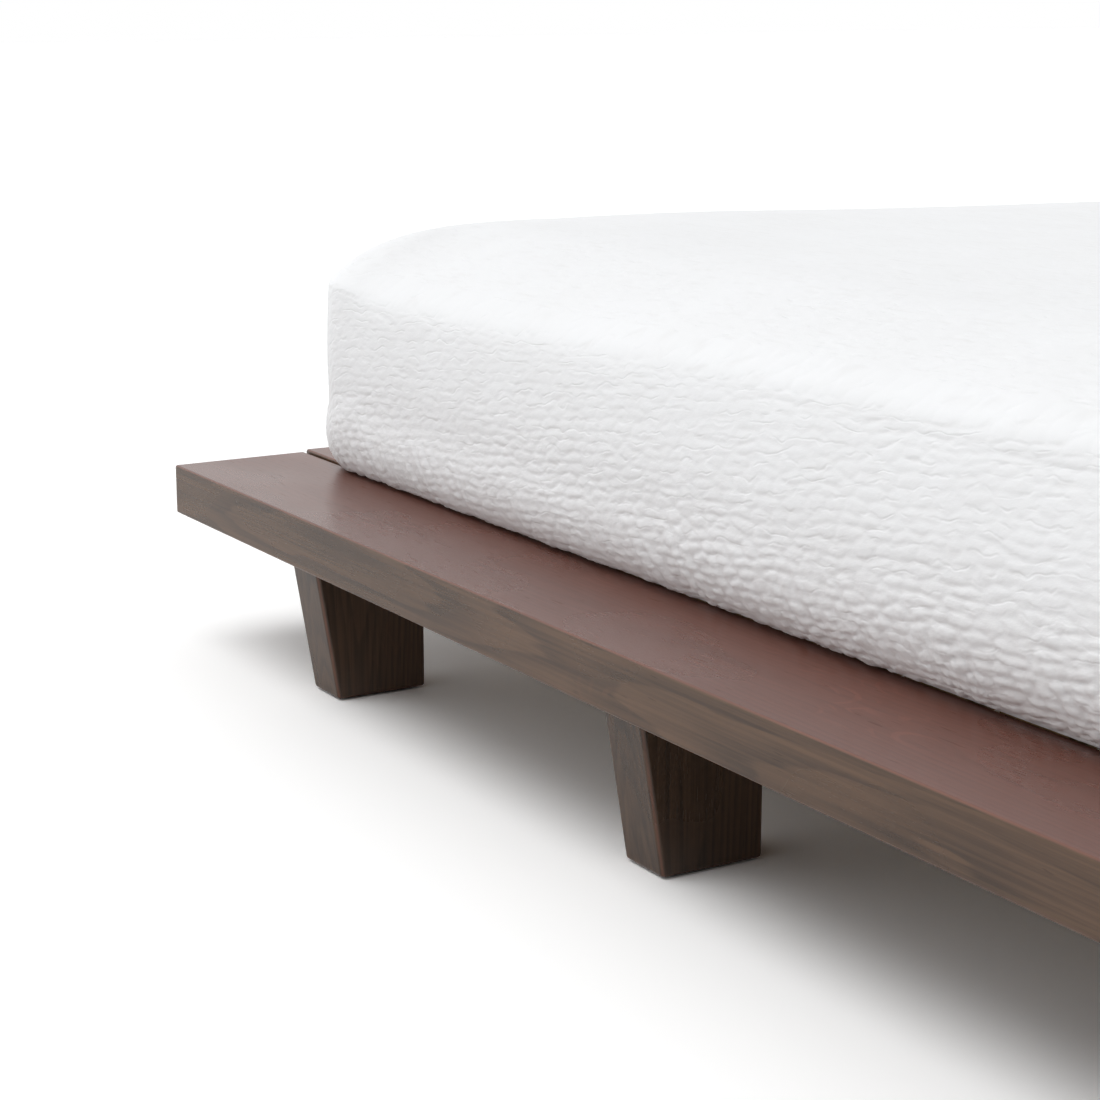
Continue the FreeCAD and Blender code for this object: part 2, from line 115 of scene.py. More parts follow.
def make_timber_figure():
    """Growth rings, pores, streaks and ray flecks, in timber whose grain runs along Z from its pith."""
    ring_wander = 0.075
    ring_shiver = 0.006
    pore_share = 0.25  # of a pore's depth, against a drying check
    tone_relief = 0.25
    flame_spacing = 0.15
    pore_shade = (0.35, 0.30, 0.28, 1)
    inputs = [("Place", "Vector"), ("Ring Width", "Float"), ("Early Wood", "Color"), ("Late Wood", "Color")]
    inputs += [("Ray Fleck", "Color"), ("Fleck Amount", "Float"), ("Pore Amount", "Float")]
    outputs = [("Colour", "Color"), ("Fleck", "Float"), ("Openness", "Float"), ("Height", "Float")]
    tree, given, result = new_group("timber_figure", inputs, outputs)
    place = given["Place"]

    # Rings about the pith, which wander along the trunk
    across = node(tree, "VectorMath", {0: place, 1: (1, 1, 0)}, operation="MULTIPLY").outputs[0]
    radius = node(tree, "VectorMath", {0: across}, operation="LENGTH").outputs[1]
    wander = calc(tree, "MULTIPLY", uneven(tree, place, (4.0, 4.0, 1.1)), ring_wander)
    shiver = calc(tree, "MULTIPLY", uneven(tree, place, (60, 60, 5)), ring_shiver)
    grown = calc(tree, "ADD", calc(tree, "ADD", radius, wander), shiver)
    ring = calc(tree, "FRACT", calc(tree, "DIVIDE", grown, given["Ring Width"]))
    late = between(tree, ring, 0.0, 0.7)
    band = calc(tree, "MULTIPLY", late, between(tree, ring, 0.9, 1.0, 1.0, 0.0))

    # Fine streaks, open pores in the early wood, and broad patches of tone
    streak = uneven(tree, place, (300, 300, 5), 3.0)
    fibre = between(tree, streak, 0.32, 0.68)
    tone = calc(tree, "ADD", calc(tree, "MULTIPLY", band, 0.5), calc(tree, "MULTIPLY", fibre, 0.5))
    pore = between(tree, uneven(tree, place, (420, 420, 60), 1.0), 0.55, 0.72)
    open_early = calc(tree, "MULTIPLY", pore, between(tree, band, 0.0, 1.0, 1.0, 0.6))
    check = between(tree, uneven(tree, place, (260, 260, 24), 2.0), 0.67, 0.74)
    opened = calc(tree, "MAXIMUM", calc(tree, "MULTIPLY", open_early, pore_share), check)
    openness = calc(tree, "MULTIPLY", opened, given["Pore Amount"])
    patch = between(tree, uneven(tree, place, (9, 9, 1.8)), 0.3, 0.7, 0.82, 1.14)

    # Ray flecks lie in nested arcs, a patch here and there
    spaced = node(tree, "VectorMath", {0: place, 1: (17, 17, 8)}, operation="MULTIPLY").outputs[0]
    centre = node(tree, "TexVoronoi", {"Vector": spaced, "Scale": 1.0}).outputs["Distance"]
    flame = calc(tree, "SINE", calc(tree, "MULTIPLY", centre, 2 * math.pi / flame_spacing))
    broken = between(tree, uneven(tree, place, (40, 40, 18), 1.0), 0.45, 0.58)
    flecked = between(tree, uneven(tree, place, (7, 7, 2.6), 1.0), 0.54, 0.66)
    fleck = calc(tree, "MULTIPLY", calc(tree, "MULTIPLY", between(tree, flame, 0.45, 0.9), broken), flecked)
    fleck = calc(tree, "MULTIPLY", fleck, given["Fleck Amount"])

    wood = mixed(tree, tone, given["Early Wood"], given["Late Wood"])
    wood = mixed(tree, fleck, wood, given["Ray Fleck"])
    dark = mixed(tree, 1.0, wood, pore_shade, "MULTIPLY")
    wood = mixed(tree, openness, wood, dark)
    shade = node(tree, "CombineColor", {0: patch, 1: patch, 2: patch}).outputs[0]
    tree.links.new(mixed(tree, 1.0, wood, shade, "MULTIPLY"), result.inputs["Colour"])
    tree.links.new(fleck, result.inputs["Fleck"])
    tree.links.new(openness, result.inputs["Openness"])
    depth = calc(tree, "SUBTRACT", calc(tree, "MULTIPLY", tone, tone_relief), openness)
    tree.links.new(depth, result.inputs["Height"])
    return tree


def make_eased_edge():
    """Marks the rounded edges of a piece, where its surface faces along none of the axes."""
    tree, given, result = new_group("eased_edge", [("Facing", "Vector")], [("Edge", "Float")])
    plain = node(tree, "VectorMath", {0: given["Facing"]}, operation="ABSOLUTE").outputs[0]
    parts = node(tree, "SeparateXYZ", {0: plain}).outputs
    most = calc(tree, "MAXIMUM", calc(tree, "MAXIMUM", parts[0], parts[1]), parts[2])
    tree.links.new(between(tree, most, 0.75, 0.985, 1.0, 0.0), result.inputs["Edge"])
    return tree


def new_material(name):
    """A material with one Principled shader: its tree, the shader and the texture coordinates."""
    material = bpy.data.materials.new(name)
    material.use_nodes = True
    tree = material.node_tree
    tree.nodes.clear()
    shader = node(tree, "BsdfPrincipled")
    surface = node(tree, "OutputMaterial")
    tree.links.new(shader.outputs[0], surface.inputs["Surface"])
    return material, tree, shader, node(tree, "TexCoord").outputs


def set_shader(tree, shader, **inputs):
    """Links or sets the shader's inputs. Spaces in their names are written as underscores."""
    for name, value in inputs.items():
        socket = shader.inputs[name.replace("_", " ")]
        if isinstance(value, bpy.types.NodeSocket):
            tree.links.new(value, socket)
        else:
            socket.default_value = value


def bumped(tree, height, distance, strength=1.0):
    inputs = {"Height": height, "Distance": distance, "Strength": strength}
    return node(tree, "Bump", inputs).outputs[0]


timber_figure = make_timber_figure()
eased_edge = make_eased_edge()


def in_trunk(tree, coordinates, pith, turn):
    """A board's place in the trunk that it was cut from, whose pith runs along Z."""
    inputs = {"Vector": coordinates["Object"], "Location": pith, "Rotation": turn}
    return node(tree, "Mapping", inputs, vector_type="TEXTURE").outputs[0]


def stained_oak(name, pith, turn, fleck, depth=1.0):
    """Dark stained oak under satin lacquer, for one board cut from its own place in a trunk."""
    material, tree, shader, coordinates = new_material(name)
    place = in_trunk(tree, coordinates, pith, turn)
    inputs = {"Place": place, "Ring Width": oak_ring, "Pore Amount": oak_pores}
    # A depth below one darkens the whole piece: painted shade, used for the legs.
    inputs["Early Wood"] = [depth * part for part in oak_early]
    inputs["Late Wood"] = [depth * part for part in oak_late]
    inputs["Ray Fleck"] = oak_fleck
    inputs["Fleck Amount"] = fleck
    figure = node(tree, "Group", inputs, node_tree=timber_figure).outputs
    edge = node(tree, "Group", {"Facing": coordinates["Normal"]}, node_tree=eased_edge).outputs["Edge"]
    rubbed = calc(tree, "MULTIPLY", edge, uneven(tree, place, (120, 120, 9)))
    upward = node(tree, "SeparateXYZ", {0: coordinates["Normal"]}).outputs[2]
    # Painted light: faces turned up are given a lighter, redder copy of the oak colour.
    lifted = mixed(tree, 1.0, figure["Colour"], lit_top_lift, "MULTIPLY")
    lit_top_colour = mixed(tree, lit_top_grain, oak_lit_top, lifted)
    lit_top_colour = mixed(tree, calc(tree, "MULTIPLY", figure["Fleck"], lit_top_fleck), lit_top_colour, lit_top_flame)
    colour = mixed(tree, between(tree, upward, 0.3, 0.9), figure["Colour"], lit_top_colour)
    colour = mixed(tree, rubbed, colour, oak_worn)
    haze = between(tree, uneven(tree, place, (5, 5, 3)), 0.3, 0.7, -0.03, 0.04)
    rough = calc(tree, "ADD", calc(tree, "MULTIPLY", figure["Openness"], 0.16), haze)
    rough = calc(tree, "ADD", rough, oak_rough)
    normal = bumped(tree, figure["Height"], oak_pore_depth)
    set_shader(tree, shader, Base_Color=colour, Roughness=rough, Normal=normal, IOR=lacquer_ior)
    return material


def finish(names, material):
    """Gives CAD pieces their finish."""
    for name in names:
        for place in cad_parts[name].material_slots:
            place.material = material


for side, toward in (("left", -1), ("right", 1)):
    name = "side_board_" + side
    low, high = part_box(name)
    outer = high.x if toward > 0 else low.x
    pith = (outer - toward * side_pith_inset, side_drift * toward, (low.z + high.z) / 2)
    finish([name], stained_oak("stained_oak_" + name, pith, grain_along_y, side_fleck))

# End boards
# Two boards of the same stained oak across the ends of the deck, tenoned into the side boards with a
# narrow groove between. Their grain runs across the bed.
end_pith_depth = 0.11  # the heart, below the top of the board
end_pith_aside = 0.03
end_drift = 0.2  # along the trunk
end_fleck = 0.4
grain_along_x = (0, math.radians(90), 0)

for end in ("foot", "head"):
    name = "end_board_" + end
    low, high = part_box(name)
    pith = (end_drift, (low.y + high.y) / 2 + end_pith_aside, high.z - end_pith_depth)
    finish([name], stained_oak("stained_oak_" + name, pith, grain_along_x, end_fleck))

# Legs
# Six block legs of stained oak, upright inside and leaning in outside, each held by two hanger bolts.
# The grain stands upright, and each leg is cut from its own place in the plank.
leg_pith_shares = {"foot": 0.62, "middle": 0.30, "head": 0.48}  # along the leg's width
leg_pith_inset = 0.06
leg_drift = 0.4  # along the trunk
leg_fleck = 0.12
leg_painted_shade = 0.72  # painted shade: the whole leg is painted darker, for the shade it stands in under the board
grain_upright = (0, 0, 0)

for side, toward in (("left", -1), ("right", 1)):
    for station, share in leg_pith_shares.items():
        name = "leg_" + side + "_" + station
        low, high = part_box(name)
        outer = high.x if toward > 0 else low.x
        heart_y = low.y + (high.y - low.y) * share
        pith = (outer - toward * leg_pith_inset, heart_y, leg_drift * share)
        finish([name], stained_oak("stained_oak_" + name, pith, grain_upright, leg_fleck, leg_painted_shade))

# Leg glides
# Pads of pressed grey wool felt, glued under the legs so that they slide without marking the floor.
felt_dark = (0.055, 0.055, 0.058, 1)
felt_light = (0.190, 0.188, 0.185, 1)
felt_shares = (0.7, 0.3)  # of fibres and of tufts
felt_depth = 0.0006
felt_sheen = 0.25

felt, tree, shader, coordinates = new_material("pressed_felt")
fibre = uneven(tree, coordinates["Object"], (900, 900, 900), 4.0)
tuft = uneven(tree, coordinates["Object"], (160, 160, 160), 2.0)
fibre = calc(tree, "MULTIPLY", fibre, felt_shares[0])
tuft = calc(tree, "MULTIPLY", tuft, felt_shares[1])
fuzz = calc(tree, "ADD", fibre, tuft)
colour = mixed(tree, between(tree, fuzz, 0.3, 0.7), felt_dark, felt_light)
set_shader(tree, shader, Base_Color=colour, Roughness=between(tree, fuzz, 0.3, 0.7, 1.0, 0.9))
set_shader(tree, shader, Normal=bumped(tree, fuzz, felt_depth), Sheen_Weight=felt_sheen)
finish(["leg_glides"], felt)

# Corner brackets and beam shoes
# Folded sheet steel with a fine black powder coat. The brackets pull the corners together from inside
# and the shoes hold the ends of the centre beam on the end boards.
powder_black = (0.018, 0.018, 0.019, 1)
powder_grey = (0.040, 0.040, 0.042, 1)
bare_edge = (0.120, 0.118, 0.115, 1)
edge_wear = 0.6
powder_grain = 0.0009
powder_depth = 0.00025
powder_rough = (0.42, 0.54)  # clean and handled


def make_handling_marks():
    """Smudges from hands and tools, with the fine grain of a coated or drawn surface."""
    inputs = [("Place", "Vector"), ("Grain Size", "Float")]
    tree, given, result = new_group("handling_marks", inputs, [("Smudge", "Float"), ("Grain", "Float")])
    smudge = between(tree, uneven(tree, given["Place"], (45, 45, 45), 3.0), 0.35, 0.68)
    grains_per_metre = calc(tree, "DIVIDE", 1.0, given["Grain Size"])
    inputs = {0: given["Place"], "Scale": grains_per_metre}
    fine = node(tree, "VectorMath", inputs, operation="SCALE").outputs[0]
    tree.links.new(smudge, result.inputs["Smudge"])
    tree.links.new(uneven(tree, fine, (1, 1, 1)), result.inputs["Grain"])
    return tree


handling_marks = make_handling_marks()


def place_marks(tree, place, grain_size):
    inputs = {"Place": place, "Grain Size": grain_size}
    marks = node(tree, "Group", inputs, node_tree=handling_marks).outputs
    return marks["Smudge"], marks["Grain"]


powder, tree, shader, coordinates = new_material("black_powder_coat")
smudge, grain = place_marks(tree, coordinates["Object"], powder_grain)
edge = node(tree, "Group", {"Facing": coordinates["Normal"]}, node_tree=eased_edge).outputs["Edge"]
colour = mixed(tree, calc(tree, "MULTIPLY", grain, smudge), powder_black, powder_grey)
colour = mixed(tree, calc(tree, "MULTIPLY", edge, edge_wear), colour, bare_edge)
set_shader(tree, shader, Base_Color=colour, Roughness=between(tree, smudge, 0.0, 1.0, *powder_rough))
set_shader(tree, shader, Normal=bumped(tree, grain, powder_depth))
brackets = ["corner_bracket_" + s + "_" + e for s in ("left", "right") for e in ("foot", "head")]
finish(brackets + ["beam_shoe_foot", "beam_shoe_head"], powder)

# Bolts, screws and levelling stems
# Steel fasteners with a bright zinc plate: hanger bolts in the legs, hex bolts in the brackets,
# countersunk screws elsewhere, and the turned screws of the levelling feet.
zinc_bright = (0.62, 0.63, 0.65, 1)
zinc_dull = (0.38, 0.39, 0.41, 1)
zinc_rough = 0.24
plate_grain = 0.0012
plate_depth = 0.00008
stations = ("foot", "middle", "head")


def plated(name, bright, dull, least_rough):
    """Plated or turned metal, brighter where it is clean and duller where it has been handled."""
    material, tree, shader, coordinates = new_material(name)
    smudge, grain = place_marks(tree, coordinates["Object"], plate_grain)
    colour = mixed(tree, smudge, bright, dull)
    rough = calc(tree, "ADD", calc(tree, "MULTIPLY", smudge, 0.16), calc(tree, "MULTIPLY", grain, 0.08))
    rough = calc(tree, "ADD", rough, least_rough)
    set_shader(tree, shader, Base_Color=colour, Metallic=1.0, Roughness=rough)
    set_shader(tree, shader, Normal=bumped(tree, grain, plate_depth))
    return material


zinc = plated("zinc_plate", zinc_bright, zinc_dull, zinc_rough)
fasteners = ["hanger_bolts", "bracket_bolts", "cleat_screws", "slat_screws", "shoe_screws"]
finish(fasteners + ["leveller_stem_" + station for station in stations], zinc)

# Threaded inserts and bushes
# Turned brass sleeves pressed into the wood, which take the hanger bolts and the levelling stems.
brass_bright = (0.80, 0.60, 0.27, 1)
brass_dull = (0.44, 0.30, 0.12, 1)
brass_rough = 0.30

brass = plated("turned_brass", brass_bright, brass_dull, brass_rough)
finish(["threaded_inserts", "leveller_bushes"], brass)

# Levelling pads
# Round feet moulded in black nylon, with the fine matt texture of the mould.
nylon_black = (0.012, 0.012, 0.013, 1)
nylon_grey = (0.030, 0.030, 0.031, 1)
nylon_grain = 0.0006
nylon_depth = 0.0002
nylon_rough = (0.46, 0.62)

nylon, tree, shader, coordinates = new_material("black_nylon")
smudge, grain = place_marks(tree, coordinates["Object"], nylon_grain)
set_shader(tree, shader, Base_Color=mixed(tree, smudge, nylon_black, nylon_grey))
set_shader(tree, shader, Roughness=between(tree, grain, 0.3, 0.7, *nylon_rough))
set_shader(tree, shader, Normal=bumped(tree, grain, nylon_depth))
finish(["leveller_pad_" + station for station in stations], nylon)

# Cleats, centre beam and centre legs
# Planed pine left unstained, because it is out of sight under the deck. Cleats are screwed to the side
# boards, and the beam stands on three square legs.
pine_early = (0.460, 0.305, 0.160, 1)
pine_late = (0.300, 0.170, 0.075, 1)
pine_fleck = (0.500, 0.350, 0.200, 1)
knot_dark = (0.130, 0.058, 0.024, 1)
knots_per_metre = (7, 7, 3.2)
knot_size = (0.035, 0.11)  # dark heart and faded rim, as shares of the knots' spacing
pine_ring = 0.0085
pine_flecks = 0.2
pine_pores = 0.12
pine_depth = 0.0002
pine_rough = (0.66, 0.55)
cleat_aside = Vector((0.02, 0.3, 0))  # from the middle of a piece to the pith of its tree
cleat_depth = 0.09
beam_aside = Vector((0.03, -0.2, 0))
beam_depth = 0.10
post_aside = Vector((0.05, 0.03, 0))
post_depth = 0.05


def planed_pine(name, pith, turn):
    """Pale planed softwood with wide rings and a few small knots."""
    material, tree, shader, coordinates = new_material(name)
    place = in_trunk(tree, coordinates, pith, turn)
    inputs = {"Place": place, "Ring Width": pine_ring, "Pore Amount": pine_pores}
    inputs["Early Wood"] = pine_early
    inputs["Late Wood"] = pine_late
    inputs["Ray Fleck"] = pine_fleck
    inputs["Fleck Amount"] = pine_flecks
    figure = node(tree, "Group", inputs, node_tree=timber_figure).outputs
    spaced = node(tree, "VectorMath", {0: place, 1: knots_per_metre}, operation="MULTIPLY").outputs[0]
    cell = node(tree, "TexVoronoi", {"Vector": spaced, "Scale": 1.0, "Randomness": 1.0}).outputs["Distance"]
    knot = between(tree, cell, knot_size[0], knot_size[1], 1.0, 0.0)
    colour = mixed(tree, knot, figure["Colour"], knot_dark)
    rough = between(tree, figure["Height"], -0.2, 0.25, *pine_rough)
    normal = bumped(tree, figure["Height"], pine_depth)
    set_shader(tree, shader, Base_Color=colour, Roughness=rough, Normal=normal)
    return material


def pith_below(name, aside, depth):
    """A pith that runs through a piece's middle, a little aside and below its top."""
    low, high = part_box(name)
    middle = (low + high) / 2
    return Vector((middle.x + aside.x, middle.y + aside.y, high.z - depth))


for side in ("left", "right"):
    name = "cleat_" + side
    pith = pith_below(name, cleat_aside, cleat_depth)
    finish([name], planed_pine("planed_pine_" + name, pith, grain_along_y))
beam_pith = pith_below("centre_beam", beam_aside, beam_depth)
finish(["centre_beam"], planed_pine("planed_pine_centre_beam", beam_pith, grain_along_y))
for station in stations:
    name = "centre_leg_" + station
    pith = pith_below(name, post_aside, post_depth)
    finish([name], planed_pine("planed_pine_" + name, pith, grain_upright))

# Slats
# Thirteen boards of the same pine laid across the deck, eased along their edges and screwed down to the
# cleats and the beam.
slat_count = 13
slat_drift = 0.37  # each slat comes from its own place along the trunk
slat_aside = 0.018
slat_depth = (0.055, 0.012)  # from the top to the pith, and the step from slat to slat

for number in range(1, slat_count + 1):
    name = "slat_%02d" % number
    aside = Vector((slat_drift * (number % 5 - 2), slat_aside * (number % 4 - 1.5), 0))
    pith = pith_below(name, aside, slat_depth[0] + slat_depth[1] * (number % 3))
    finish([name], planed_pine("planed_pine_" + name, pith, grain_along_x))

# Mattress core
# A block of firm foam with rolled edges, cut to the bed and laid on the slats. The coverlet wraps it and
# squeezes its ends a little.
core_low, core_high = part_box("mattress_core")
core_corner = 0.084
core_roll = 0.045  # radius of the bottom edge
core_swell = 0.002  # how far the side stands out at half height
core_squeeze = Vector((0, 0.012))  # the foam gives where the cover is pulled tight over the ends
core_cells = (48, 50)
foam_pale = (0.70, 0.68, 0.60, 1)
# the darker colour is painted shade in the pits of the cut cells
foam_pit_shade = (0.50, 0.47, 0.39, 1)
foam_cells = 420  # per metre


def arc(radius, start, stop, count, inset, level):
    """Points round part of a circle, as (inset, level) about a centre. Angles are from the outward side."""
    turns = [math.radians(start + (stop - start) * i / (count - 1)) for i in range(count)]
    return [(inset - radius * math.cos(t), level + radius * math.sin(t)) for t in turns]


def straight(start, stop, count, bulge=0.0):
    """Points between two others, the ends left out, swelling outwards by a bulge."""
    shares = [i / (count + 1) for i in range(1, count + 1)]
    points = []
    for s in shares:
        inset = start[0] + (stop[0] - start[0]) * s - bulge * math.sin(math.pi * s)
        points.append((inset, start[1] + (stop[1] - start[1]) * s))
    return points


def ring_place(x, y, half, corner, inset, least_corner=0.012):
    """Where a point of a flat rectangle goes on a rounded one set in from it, and which way is out."""
    radius = max(corner - inset, least_corner)
    draw = max(0.0, inset - corner + least_corner)
    a = (abs(x) - half.x + corner) / corner
    b = (abs(y) - half.y + corner) / corner
    centre_x = half.x - corner
    centre_y = half.y - corner
    out_x = 1.0 if a >= b else 0.0
    out_y = 1.0 - out_x
    if a > 0 and b > 0:
        round_a = a * math.sqrt(1 - b * b / 2)
        round_b = b * math.sqrt(1 - a * a / 2)
        reach = math.hypot(round_a, round_b)
        out_x = (round_a / reach) ** 2
        out_y = (round_b / reach) ** 2
        a = round_a
        b = round_b
    new_x = centre_x - draw + radius * a if a > 0 else abs(x) * (centre_x - draw) / centre_x
    new_y = centre_y - draw + radius * b if b > 0 else abs(y) * (centre_y - draw) / centre_y
    place = Vector((math.copysign(new_x, x), math.copysign(new_y, y)))
    return place, Vector((math.copysign(out_x, x), math.copysign(out_y, y)))


def spread_form(half, corner, cells, profile, rise=None):
    """A flat cap whose rim is drawn ring by ring along a profile of (inset, level), with cloth coordinates.

    Each point keeps how far it lies across and along the cloth, as if the form were spread flat."""
    form = bmesh.new()
    across = form.verts.layers.float.new("across")
    along = form.verts.layers.float.new("along")
    bmesh.ops.create_grid(form, x_segments=cells[0], y_segments=cells[1], size=1.0)
    inset, level = profile[0]
    flat = {}
    for vert in form.verts:
        x = vert.co.x * half.x
        y = vert.co.y * half.y
        vert[across] = x
        vert[along] = y
        place, _ = ring_place(x, y, half, corner, inset)
        lift = rise(x, y) if rise else 0.0
        vert.co = (place.x, place.y, level + lift)
    rim = [edge for edge in form.edges if edge.is_boundary]
    for vert in {v for edge in rim for v in edge.verts}:
        flat[vert] = (vert[across], vert[along])
    for next_inset, next_level in profile[1:]:
        run = math.hypot(next_inset - inset, next_level - level)
        made = bmesh.ops.extrude_edge_only(form, edges=rim)["geom"]
        fresh = {v for v in made if isinstance(v, bmesh.types.BMVert)}
        moved = {}
        for vert in fresh:
            neighbour = next(e.other_vert(vert) for e in vert.link_edges if e.other_vert(vert) in flat)
            x, y = flat[neighbour]
            place, out = ring_place(x, y, half, corner, next_inset)
            vert.co = (place.x, place.y, next_level)
            vert[across] += out.x * run
            vert[along] += out.y * run
            moved[vert] = (x, y)
        flat = moved
        inset, level = next_inset, next_level
        rim = [edge for edge in form.edges if edge.is_boundary]
    return form, rim


def new_piece(name, form, material):
    """A mesh object of a finished form, with its faces turned outwards and smooth."""
    bmesh.ops.recalc_face_normals(form, faces=form.faces)
    mesh = bpy.data.meshes.new(name)
    form.to_mesh(mesh)
    form.free()
    mesh.shade_smooth()
    mesh.materials.append(material)
    made = bpy.data.objects.new(name, mesh)
    bpy.context.scene.collection.objects.link(made)
    return made


def smoothed(piece, levels):
    finer = piece.modifiers.new("finer", "SUBSURF")
    finer.levels = levels
    finer.render_levels = levels


def open_cell_foam(name, pale, shade, cells_per_metre):
    """Cut foam: a cell structure that shows as fine pits, painted darker as painted shade, with slow
    changes of tone.
    """
    pit_depth = 0.0008
    material, tree, shader, coordinates = new_material(name)
    inputs = {"Vector": coordinates["Object"], "Scale": cells_per_metre}
    cell = node(tree, "TexVoronoi", inputs).outputs["Distance"]
    pit = between(tree, cell, 0.15, 0.6)
    aged = uneven(tree, coordinates["Object"], (3, 3, 3))
    # The pits are painted darker, as painted shade in the open cells; the slow changes of tone are the
    # foam's own.
    tone = calc(tree, "MULTIPLY", pit, between(tree, aged, 0.3, 0.7, 0.7, 1.0))
    set_shader(tree, shader, Base_Color=mixed(tree, tone, shade, pale))
    set_shader(tree, shader, Roughness=between(tree, pit, 0.0, 1.0, 1.0, 0.85))
    set_shader(tree, shader, Normal=bumped(tree, pit, pit_depth))
    return material


core_half = Vector((core_high.x, core_high.y)) - core_squeeze
core_side = (0.0, core_low.z + core_roll)
core_top = (0.0, core_high.z)
core_profile = arc(core_roll, -90, 0, 6, core_roll, core_low.z + core_roll)
core_profile += straight(core_side, core_top, 5, core_swell)
core_profile += [core_top]
form, rim = spread_form(core_half, core_corner, core_cells, core_profile)
bmesh.ops.holes_fill(form, edges=rim)
core = new_piece("firm_foam_core", form, open_cell_foam("firm_foam", foam_pale, foam_pit_shade, foam_cells))
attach(core, "bedding")
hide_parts("mattress_core")

# Comfort layer
# A deep layer of soft foam glued on the core. Its edges fall away in a crown, and it has settled
# unevenly: it is lower towards the left of the bed and fuller on the right towards the head.
comfort_low, comfort_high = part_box("mattress_comfort_layer")
comfort_shoulder = 0.020
shoulder_slope = 33  # degrees, where the crown leaves the shoulder
crown_rise = 0.0665
crown_run = 0.235
crown_power = 2.6
shoulder_level = 0.4860  # top of the covered shoulder
settle_depth = 0.026
settle_start = 0.74  # from the middle of the bed to where the top begins to settle
settle_run = 1.25
cover_reach = 0.007  # coverlet and ease over the foam
full_rise = 0.030  # how much fuller the right edge stands towards the head
full_from = 0.30  # below this the side is unchanged
full_start = 0.9  # from the middle of the bed towards the foot, where the rise begins
full_run = 1.8
full_across = 0.6
soft_pale = (0.74, 0.76, 0.78, 1)
# the darker colour is painted shade in the pits of the cut cells
soft_pit_shade = (0.55, 0.58, 0.62, 1)
soft_cells = 300


def ease(value):
    value = min(max(value, 0.0), 1.0)
    return value * value * (3 - 2 * value)


def crown_over(half):
    """The height of the crown above its shoulder, over a cap of that half size."""
    def rise(x, y):
        near_side = min((half.x - abs(x)) / crown_run, 1.0)
        near_end = min((half.y - abs(y)) / crown_run, 1.0)
        low_side = (1 - near_side) ** crown_power
        low_end = (1 - near_end) ** crown_power
        full = max(0.0, 1 - (low_side ** 4 + low_end ** 4) ** 0.25)
        settled = settle_depth * ease((settle_start - x) / settle_run)
        return (crown_rise - settled) * full
    return rise


def shoulder_arc(radius, level, count):
    """The rolled edge from the crown's slope down to the upright side."""
    drop = radius * math.sin(math.radians(90 - shoulder_slope))
    return arc(radius, 90 - shoulder_slope, 0, count, radius, level - drop)


def filled_out(form, level):
    """Raises a form's right shoulder towards the head, less and less up to the crown and down the side."""
    for vert in form.verts:
        x, y, z = vert.co
        rise = full_rise * ease((y + full_start) / full_run) * ease(x / full_across)
        share = 1 - (z - level) / crown_rise if z > level else (z - full_from) / (level - full_from)
        vert.co.z += rise * min(max(share, 0.0), 1.0)


comfort_half = Vector((comfort_high.x, comfort_high.y)) - core_squeeze
comfort_profile = shoulder_arc(comfort_shoulder, shoulder_level - cover_reach, 4)
comfort_profile += straight(comfort_profile[-1], (0.0, comfort_low.z), 3, core_swell * 0.5)
comfort_profile += [(0.0, comfort_low.z)]
comfort_rise = crown_over(comfort_half)
form, rim = spread_form(comfort_half, core_corner, core_cells, comfort_profile, comfort_rise)
filled_out(form, shoulder_level - cover_reach)
bmesh.ops.holes_fill(form, edges=rim)
comfort = new_piece("soft_foam_layer", form, open_cell_foam("soft_foam", soft_pale, soft_pit_shade, soft_cells))
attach(comfort, "bedding")
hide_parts("mattress_comfort_layer")

# Coverlet
# Two white cotton cloths with thin wadding between, stitched in close wavy rows along the bed and washed
# so that they pucker. It is spread over the mattress and tucked under it all round.
cover_low, cover_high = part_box("coverlet")
cover_loose = Vector((0.028, -0.001))  # how far it stands out past its plain solid, at the sides and ends
cover_corner = 0.132
cover_shoulder = 0.016
cover_foot = (0.034, 0.064)  # roll of the bottom edge, in and up
cover_skew = 0.006  # tucked in deeper towards the head
cover_droop = 0.0026  # the roll hangs past the deck down to the ledge
cover_bulge = 0.003
belly_depth = 0.014  # how far the sides belly out towards the head
belly_height = 0.235
belly_full = 0.5  # from the middle of the bed towards the head, where the belly is deepest
cover_tuck = 0.110  # turned under the mattress
hem_turn = 0.022
hem_height = 0.004
cover_cells = (54, 78)
shoulder_rounds = 16  # of smoothing along the sides, where the edge has worn soft
shoulder_width = 0.16
shoulder_drop = 0.10
cover_finer = 3
swell_frames = 20
swell_pressure = 4.0
swell_limit = 0.003
row_pitch = 0.0118  # between lines of stitching
row_lean = 0.11  # the cover was laid askew, so its rows climb towards the head on the right
row_drift = (0.0050, 0.0016)  # how far the rows wander, in long and in short waves
puff_length = 0.034  # of a quilted puff along its row
puff_stray = 0.0080
puff_height = (0.0006, 0.0012)  # high on the bed and low down
puff_mean = 0.6  # taken off, so that the relief lies about the surface
row_depth = (0.0004, 0.0005)
row_mean = 0.3
slack_levels = (0.27, 0.44)  # the cover is slack below and taut above
pillow_length = 0.026  # of the shorter puffs low down, where gathers cross the rows
pillow_stray = 0.007
pillow_height = 0.0018
pillow_levels = (0.28, 0.41)
crinkle_height = 0.0003
loft_range = (0.65, 1.35)  # the wadding is flatter towards the foot than towards the head
loft_along = (-0.9, 0.6)
gather_width = 0.025
gather_lean = 0.7
gather_height = 0.0040
gather_top = 0.345
gather_full = 0.245
groove_width = 0.16  # as a share of a gather
groove_mean = 0.35
crease_depth = 0.0006
lie_height = 0.0030  # slow rise and fall of the whole cover


